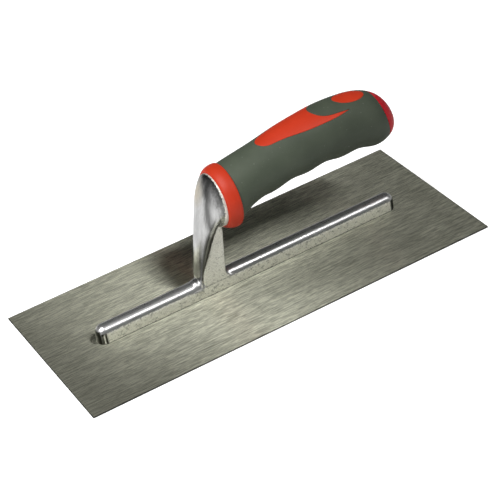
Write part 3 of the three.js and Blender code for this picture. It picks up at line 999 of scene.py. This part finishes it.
def settle(points, field):
    """Moves points down the field's slope onto its zero level."""
    steps = SETTLE_STEP * np.eye(3)
    for _ in range(SETTLE_ROUNDS):
        value = field(*points.T)
        rise = [field(*(points + step).T) - field(*(points - step).T) for step in steps]
        slope = np.stack(rise, axis=-1) / (2 * SETTLE_STEP)
        square = np.maximum((slope**2).sum(axis=1), SETTLE_LEAST_SLOPE)
        move = -(value / square)[:, None] * slope
        length = np.maximum(np.linalg.norm(move, axis=1), 1e-9)
        points = points + move * np.minimum(1, SETTLE_REACH / length)[:, None]
    return points


def casting_grid(low, high):
    """Grid lines round the casting along X, Y and Z, finest where it is most curved."""
    fine, coarse = GRID_FINE, GRID_COARSE
    front_part, rear_part = GRID_ENDS
    post_front, post_rear = GRID_POST
    foot, finest_end, top = GRID_HEIGHTS
    bar = [low[0] - GRID_MARGIN, (low[0] + front_part, fine), (post_front, coarse)]
    tang = [(high[0] - rear_part, coarse), (high[0] + GRID_MARGIN, fine)]
    xs = graded([*bar, (post_rear, fine), *tang])
    ys = graded([-GRID_HALF_WIDTH, (GRID_HALF_WIDTH, fine)])
    zs = graded([foot, (finest_end, fine / 2), (top, fine)])
    return xs, ys, zs


def polish_at(points, front_end):
    """Millimetres inside the polished area, negative where the casting is left as cast."""
    x, y, z = points.T
    web = web_field(x, y, z)
    crown = np.minimum(z - POLISH_Z, web - spine_field(x, y, z) + POLISH_PAST_WEB)
    crown = np.maximum(crown, front_end + POLISH_END - x)
    nose = np.minimum(edge_plane(x, z) - POLISH_OFF_RIM, POLISH_MOST)
    nose = np.minimum(web - nose_field(x, y, z) - POLISH_OFF_WEB, nose)
    return np.maximum(crown, nose)


def make_mounting(material):
    low, high = node_box("mounting")
    xs, ys, zs = casting_grid(low, high)
    field = casting_field(xs[:, None, None], ys[None, :, None], zs[None, None, :])
    points, faces = surface_net(field, xs, ys, zs)
    points = settle(points, casting_field)
    points[:, 2] = np.maximum(points[:, 2], node_box("blade")[1][2])
    casting = outward(new_mesh_object("casting", points, faces, CASTING_SHARP))
    from_rim = np.minimum(edge_plane(points[:, 0], points[:, 2]), RIM_MOST)
    for name, values in (("polish", polish_at(points, low[0])), ("from_rim", from_rim)):
        casting.data.attributes.new(name, "FLOAT", "POINT").data.foreach_set("value", values)
    finish_piece(casting, "cast_mounting", material, ["mounting"])


# -------- handle surface

# Side outline of the handle, from the collar to the butt: x, z of the top and of the underside.
HANDLE_ROWS = [
    (-5.7, 81.9, -5.7, 43.4),
    (2, 84.0, 2, 49.1),
    (10, 85.7, 10, 52.1),
    (20, 87.7, 20, 53.9),
    (35, 90.9, 35, 55.8),
    (50, 93.1, 50, 57.1),
    (65, 94.4, 65, 57.3),
    (80, 93.9, 80, 56.5),
    (93, 91.8, 93, 55),
    (102, 87.9, 101.5, 54.1),
    (108.5, 81.9, 108, 56.2),
    (113, 72.7, 112.6, 60.4),
]
BUTT = (114.65, 66)
# Share by which the handle is narrower than it is tall, and the length over which it becomes so.
SQUEEZE = 0.06
SQUEEZE_OVER = 30
# Finger waves along the underside, and the stretches where they fade in and out.
WAVE_HEIGHT = 0.97
WAVE_CREST = 22
WAVE_PITCH = 24.3
WAVE_STARTS = (7, 12)
WAVE_STOPS = (113, 14)
SKIN = 2.7
SKIN_GAP = 0.3
LAND_DEPTH = SKIN + 3
# Plane of the cap's joint: x and z of a point on it, and how far it leans.
CAP_PLANE = (103.4, 73, 0.155)
CAP_GAP = 0.3
# Reach of the block that cuts the core along that plane.
BLOCK = 120
SCREW_AXIS_Z = 74.5
HALVINGS = 30


def handle_spline():
    """Top and underside as a curve that runs over the butt and back, and where the butt is on it."""
    rows = [*HANDLE_ROWS, (*BUTT, *BUTT)]
    for row in HANDLE_ROWS[:-3:-1]:
        rows.append((*row[2:], *row[:2]))
    knots = chord_knots([row[:2] for row in rows], [row[2:] for row in rows])
    return Spline(knots, rows), knots[len(HANDLE_ROWS)]


handle_edges, BUTT_AT = handle_spline()


def handle_point(along, angle, inset=0.0):
    """Point of the handle's surface, moved in by inset. Angle 0 is the top, and +Y is at a quarter turn."""
    tx, tz, ux, uz = np.moveaxis(handle_edges(along), -1, 0)
    up_x, up_z = (tx - ux) / 2, (tz - uz) / 2
    tall = np.hypot(up_x, up_z)
    keep = np.maximum(tall - inset, 0) / np.maximum(tall, TINY)
    centre_x, centre_z = (tx + ux) / 2, (tz + uz) / 2
    narrow = SQUEEZE * smooth_step((centre_x - HANDLE_ROWS[0][0]) / SQUEEZE_OVER)
    wide = np.maximum(tall * (1 - narrow) - inset, 0)
    (start, fade_in), (stop, fade_out) = WAVE_STARTS, WAVE_STOPS
    fade = smooth_step((ux - start) / fade_in) * smooth_step((stop - ux) / fade_out)
    wave = WAVE_HEIGHT * np.cos(2 * np.pi * (ux - WAVE_CREST) / WAVE_PITCH) * fade
    cosine = np.cos(angle)
    return np.stack(
        [
            centre_x + up_x * keep * cosine,
            wide * np.sin(angle),
            centre_z + up_z * keep * cosine - wave * np.maximum(-cosine, 0) ** 2,
        ],
        axis=-1,
    )


def solve_along(angle, reached):
    """Where along the handle a measure of the surface point changes sign, at each angle."""
    low = np.zeros(np.shape(angle))
    high = np.full(np.shape(angle), BUTT_AT)
    for _ in range(HALVINGS):
        middle = (low + high) / 2
        behind = reached(middle, angle)
        low = np.where(behind, low, middle)
        high = np.where(behind, middle, high)
    return (low + high) / 2


def behind_cap_plane(point):
    plane_x, plane_z, lean = CAP_PLANE
    return point[..., 0] - plane_x + lean * (point[..., 2] - plane_z)


def joint_along(angle, gap):
    """Where the cap's joint plane, moved forward by a gap, crosses the surface."""
    return solve_along(angle, lambda along, turn: behind_cap_plane(handle_point(along, turn)) > -gap)


def plan_to_surface(plan):
    """(along, angle) of the points on the top of the handle that lie over points x, y in plan."""
    plan = np.asarray(plan, float)
    angle = np.zeros(len(plan))
    along = np.zeros(len(plan))
    for _ in range(PLAN_ROUNDS):
        along = solve_along(angle, lambda a, turn: handle_point(a, turn)[..., 0] > plan[:, 0])
        width = handle_point(along, np.full(len(plan), np.pi / 2))[:, 1]
        angle = np.arcsin(np.clip(plan[:, 1] / width, -PLAN_WIDEST, PLAN_WIDEST))
    return along, angle


# Flame-shaped land on top of the handle, in plan: one half of its outer edge, its tip, and its notch.
FLAME_EDGE = [(79.8, 10.4), (71.9, 11.6), (60.6, 11.8), (45.1, 10.3), (28.7, 7.3), (21.5, 5.1)]
FLAME_TIP = (18.6, 0)
FLAME_NOTCH = [(70, 9.9), (61, 7.5)]
FLAME_NOTCH_MIDDLE = (56.8, 0)
# Oval land behind it: x of its middle, half length and half width.
OVAL = (85.2, 10.8, 6.8)
# The surface is unrolled with this radius, so that its spacings are about true.
TURN_RADIUS = 19.0
LINE_POINTS = 400
PLAN_ROUNDS = 12
PLAN_WIDEST = 0.95


def resample(points, spacing, closed=False):
    """Points at an even spacing along a line of points."""
    points = np.asarray(points, float)
    if closed:
        points = np.concatenate([points, points[:1]])
    reach = np.concatenate([[0], np.cumsum(np.linalg.norm(np.diff(points, axis=0), axis=1))])
    count = max(3, round(reach[-1] / spacing))
    places = np.linspace(0, reach[-1], count + 1)
    even = np.stack([np.interp(places, reach, points[:, i]) for i in range(points.shape[1])], axis=-1)
    return even[:-1] if closed else even


def smooth_line(points, count=LINE_POINTS):
    knots = chord_knots(points)
    return Spline(knots, points)(np.linspace(0, knots[-1], count))


def land_outlines(spacing):
    """Closed outlines of the flame and the oval on the unrolled surface, (along, angle times radius)."""
    mirror = [(x, -y) for x, y in FLAME_EDGE]
    far_notch = [(x, -y) for x, y in FLAME_NOTCH]
    outer = smooth_line([*FLAME_EDGE, FLAME_TIP, *mirror[::-1]])
    notch = smooth_line([mirror[0], *far_notch, FLAME_NOTCH_MIDDLE, *FLAME_NOTCH[::-1], FLAME_EDGE[0]])
    turn = np.linspace(0, 2 * np.pi, LINE_POINTS, endpoint=False)
    oval = np.stack([OVAL[0] + OVAL[1] * np.cos(turn), OVAL[2] * np.sin(turn)], axis=-1)
    outlines = []
    for lines, closed in (((outer, notch), False), ((oval,), True)):
        parts = []
        for line in lines:
            along, angle = plan_to_surface(line)
            flat = resample(np.stack([along, angle * TURN_RADIUS], axis=-1), spacing, closed)
            parts.append(flat if closed else flat[:-1])
        outlines.append(np.concatenate(parts))
    return outlines


def offset_outline(outline, distance):
    """Outline moved to one side, without the points that would come too near the outline itself."""
    ahead = np.roll(outline, -1, axis=0) - np.roll(outline, 1, axis=0)
    side = np.stack([-ahead[:, 1], ahead[:, 0]], axis=-1) / np.linalg.norm(ahead, axis=1)[:, None]
    moved = outline + side * distance
    nearest = np.abs(outline_distance(*moved.T, outline))
    return moved[nearest > OFFSET_KEPT * abs(distance)]


ROLL = 0.34
ROLL_DEPTH = 0.3
# Spacing of the handle's grid and of the outlines' points, and how far the grid keeps off the outlines.
HANDLE_SPACING = 0.85
OUTLINE_SPACING = 0.45
OUTLINE_CLEAR = 0.55
# Rows of points beside each outline and near both ends, where the surface rolls over.
BESIDE_OUTLINE = (-0.34, -0.2, -0.09, 0.09, 0.2, 0.34)
OFFSET_KEPT = 0.9
NEAR_END = (0.1, 0.2, 0.35, 0.6)
ROWS_REACH = 0.92
SEAM_SNAP = 1e-3
MERGE = 1e-5


def rolled(distance):
    """How far the surface drops near an edge, as a small round."""
    short = np.clip(1 - distance / ROLL, 0, 1)
    return ROLL_DEPTH * (1 - np.sqrt(np.maximum(1 - short**2, 0)))


def handle_grid(outlines):
    """Grid over the unrolled handle, clear of the outlines: its points and the loop of numbers round it."""
    angle = np.linspace(-np.pi, np.pi, round(2 * np.pi * TURN_RADIUS / HANDLE_SPACING) + 1)
    rear = joint_along(angle, CAP_GAP / 2)
    near_end = np.array(NEAR_END) / BUTT_AT
    even = np.linspace(0, 1, round(BUTT_AT * ROWS_REACH / HANDLE_SPACING) + 1)
    shares = np.unique(np.concatenate([even, near_end, 1 - near_end]))
    along = shares[:, None] * rear[None, :]
    points = np.stack([along, np.broadcast_to(angle * TURN_RADIUS, along.shape)], axis=-1).reshape(-1, 2)
    keep = np.ones(len(points), bool)
    for outline in outlines:
        keep &= np.abs(outline_distance(*points.T, outline)) > OUTLINE_CLEAR
    border = np.ones(along.shape, bool)
    border[1:-1, 1:-1] = False
    keep |= border.reshape(-1)
    number = np.full(len(points), -1)
    number[keep] = np.arange(keep.sum())
    number = number.reshape(along.shape)
    loop = [*number[0], *number[1:, -1], *number[-1, -2::-1], *number[-2:0:-1, 0]]
    return points[keep], loop, angle, rear


def close_seam(flat, triangles):
    """Triangles with the two sides of the seam under the handle made one."""
    seam = np.pi * TURN_RADIUS
    right = np.flatnonzero(flat[:, 1] > seam - SEAM_SNAP)
    left = np.flatnonzero(flat[:, 1] < -seam + SEAM_SNAP)
    partner = np.arange(len(flat))
    partner[right[np.argsort(flat[right, 0])]] = left[np.argsort(flat[left, 0])]
    return partner[triangles]


def handle_sheets():
    """Triangles over the unrolled handle from collar to cap, split along the land outlines."""
    outlines = land_outlines(OUTLINE_SPACING)
    points, loop, angle, rear = handle_grid(outlines)
    edges = list(zip(loop, loop[1:] + loop[:1]))
    total = len(points)
    for outline in outlines:
        edges += [(total + i, total + (i + 1) % len(outline)) for i in range(len(outline))]
        total += len(outline)
    beside = [offset_outline(outline, distance) for outline in outlines for distance in BESIDE_OUTLINE]
    cloud = np.concatenate([points, *outlines, *beside])
    made = delaunay_2d_cdt([Vector(point) for point in cloud], edges, [], 1, MERGE)
    flat = np.array([tuple(point) for point in made[0]])
    triangles = np.array(made[2])
    centres = flat[triangles].mean(axis=1)
    land = np.zeros(len(triangles), bool)
    edge_gap = np.full(len(flat), np.inf)
    for outline in outlines:
        edge_gap = np.minimum(edge_gap, np.abs(outline_distance(*flat.T, outline)))
        land |= outline_distance(*centres.T, outline) < 0
    rear_gap = np.interp(flat[:, 1] / TURN_RADIUS, angle, rear) - flat[:, 0]
    edge_gap = np.minimum(edge_gap, np.minimum(flat[:, 0], rear_gap))
    return flat, close_seam(flat, triangles), land, edge_gap


def make_handle(rubber, plastic, cap_material):
    flat, triangles, land, edge_gap = handle_sheets()
    along, angle = flat[:, 0], flat[:, 1] / TURN_RADIUS
    outer = handle_point(along, angle, rolled(edge_gap))
    skin = thick_sheet("soft_skin", triangles[~land], outer, handle_point(along, angle, SKIN))
    finish_piece(skin, "soft_skin", rubber, ["soft_grip"])
    lands = thick_sheet("lands", triangles[land], outer, handle_point(along, angle, LAND_DEPTH))
    finish_piece(make_core(lands), "moulded_core", plastic, ["handle_core"])
    finish_piece(make_cap(), "butt_cap", cap_material, ["end_cap"])


COLLAR = [
    (-14.8, 17.35),
    (-14.35, 18.15),
    (-13.4, 18.95),
    (-12.1, 19.6),
    (-10.7, 20.1),
    (-9.4, 20.35),
    (-8.0, 20.45),
    (-6.7, 20.4),
    (-6.15, 20.2),
    (-5.9, 19.7),
]
COLLAR_POINTS = 60
# Recess that takes the boss: radius, depth, and chamfer of its lip.
COLLAR_RECESS = (17.05, 1.2)
COLLAR_CHAMFER = 0.12
# The collar is solid down to this radius until the tang's space is cut, and the neck reaches into it.
CORE_INNER = 2
NECK_OVERLAP = 2
CORE_AROUND = 160
SLEEVE_AROUND = 96
SLEEVE_RINGS = 90
SLEEVE_REACH = 0.98
SCREW_WALL = (86.5, 91)
SCREW_HOLE = 2.7
SCREW_HOLE_AROUND = 48
COUNTERBORE = 7.6
COUNTERBORE_AROUND = 64
COUNTERBORE_END = 120
# Spigot's front end, radius, chamfer and length inside the dome, and its bore's radius and rear end.
SPIGOT = (96.6, 7.3, 0.3, 2)
SPIGOT_BORE = (5.9, 106)
CAP_RINGS = 70
CAP_FIRST_RINGS = (0, 0.004, 0.01, 0.02, 0.035)
CAP_SPAN = (0.05, 0.999)
CAP_SHARP = 50


def half_space(gap):
    """Large block behind the cap's joint, moved forward by a gap."""
    corners = [(-gap, -BLOCK), (BLOCK, -BLOCK), (BLOCK, BLOCK), (-gap, BLOCK)]
    block = ring_solid([[(x, y, z) for x, y in corners] for z in (-BLOCK, BLOCK)])
    plane_x, plane_z, lean = CAP_PLANE
    turn = Matrix.Rotation(-math.atan(lean), 4, "Y")
    block.data.transform(Matrix.Translation((plane_x * MM, 0, plane_z * MM)) @ turn)
    return block


def make_collar(lip, edge):
    """Ring in front of the grip, recessed for the boss."""
    radius, depth = COLLAR_RECESS
    mouth = [(lip + COLLAR_CHAMFER, radius), (lip, radius + COLLAR_CHAMFER)]
    floor = [(lip + depth, CORE_INNER), (lip + depth, radius)]
    return turned_x([*floor, *mouth, *edge, (edge[-1][0], CORE_INNER)], BOSS_Z, CORE_AROUND)


def make_core(lands):
    """Collar, neck, sleeve and lands as one, with the spaces for the tang and the screw cut out."""
    lip = COLLAR[0][0]
    edge = smooth_line(COLLAR, COLLAR_POINTS)
    grip_x, top, _, under = HANDLE_ROWS[0]
    neck_radius = (top - under) / 2 - SKIN - 2 * SKIN_GAP
    neck_ends = (edge[-1][0] - NECK_OVERLAP, grip_x + SKIN_GAP)
    neck = turned_x([(x, neck_radius) for x in neck_ends], BOSS_Z, CORE_AROUND)
    turn = np.linspace(0, 2 * np.pi, SLEEVE_AROUND, endpoint=False)
    places = np.linspace(0, BUTT_AT * SLEEVE_REACH, SLEEVE_RINGS)
    sleeve = ring_solid([handle_point(np.full(SLEEVE_AROUND, x), turn, SKIN + SKIN_GAP) for x in places])
    core = make_collar(lip, edge)
    for added in (neck, sleeve, lands):
        boolean(core, added, "UNION")
    wall_front, wall_rear = SCREW_WALL
    hole = [(wall_front - CUT_OVER, SCREW_HOLE), (wall_rear + CUT_OVER, SCREW_HOLE)]
    counterbore = [(wall_rear, COUNTERBORE), (COUNTERBORE_END, COUNTERBORE)]
    boolean(core, half_space(2 * CAP_GAP), "DIFFERENCE")
    boolean(core, tang_hollow(lip), "DIFFERENCE")
    boolean(core, turned_x(hole, SCREW_AXIS_Z, SCREW_HOLE_AROUND), "DIFFERENCE")
    return boolean(core, turned_x(counterbore, SCREW_AXIS_Z, COUNTERBORE_AROUND), "DIFFERENCE")


def tang_hollow(lip):
    """The tang's space in the core, with clearance."""
    rings = []
    for x in (lip - CUT_OVER, SCREW_WALL[0]):
        centre, tall, wide = tang_section(tang_share(x))
        ring = rounded_rectangle(wide - TANG_ROUND, tall - TANG_ROUND, TANG_ROUND + TANG_CLEARANCE)
        rings.append([(x, y, centre + z) for y, z in ring])
    return ring_solid(rings)


def make_cap():
    """Dome behind the joint, with a hollow spigot that plugs into the core."""
    turn = np.linspace(0, 2 * np.pi, CORE_AROUND, endpoint=False)
    start = joint_along(turn, 0)
    rings = []
    for share in [*CAP_FIRST_RINGS, *np.linspace(*CAP_SPAN, CAP_RINGS)]:
        along = start + share * (BUTT_AT - start)
        rings.append(handle_point(along, turn, rolled(along - start)))
    dome = ring_solid(rings, "dome", CAP_SHARP)
    front, radius, chamfer, in_dome = SPIGOT
    bore, bore_end = SPIGOT_BORE
    spigot = [(front, radius - chamfer), (front + chamfer, radius), (CAP_PLANE[0] + in_dome, radius)]
    hollow = [(front - CUT_OVER, bore), (bore_end, bore)]
    boolean(dome, turned_x(spigot, SCREW_AXIS_Z, SLEEVE_AROUND), "UNION", CAP_SHARP)
    return boolean(dome, turned_x(hollow, SCREW_AXIS_Z, SLEEVE_AROUND), "DIFFERENCE", CAP_SHARP)


# -------- the whole object

make_camera()
make_lights()
make_floor()
make_blade(steel_material())
make_rivets(rivet_material())
make_mounting(aluminium_material())
make_handle(
    rubber_material(),
    plastic_material("orange_red_plastic", ORANGE_RED, 0.46, 0.22),
    plastic_material("crimson_plastic", CRIMSON, 0.50, 0.1),
)
zinc = zinc_material()
for name in ("handle_screw", "washer"):
    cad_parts[name].data.materials.clear()
    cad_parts[name].data.materials.append(zinc)
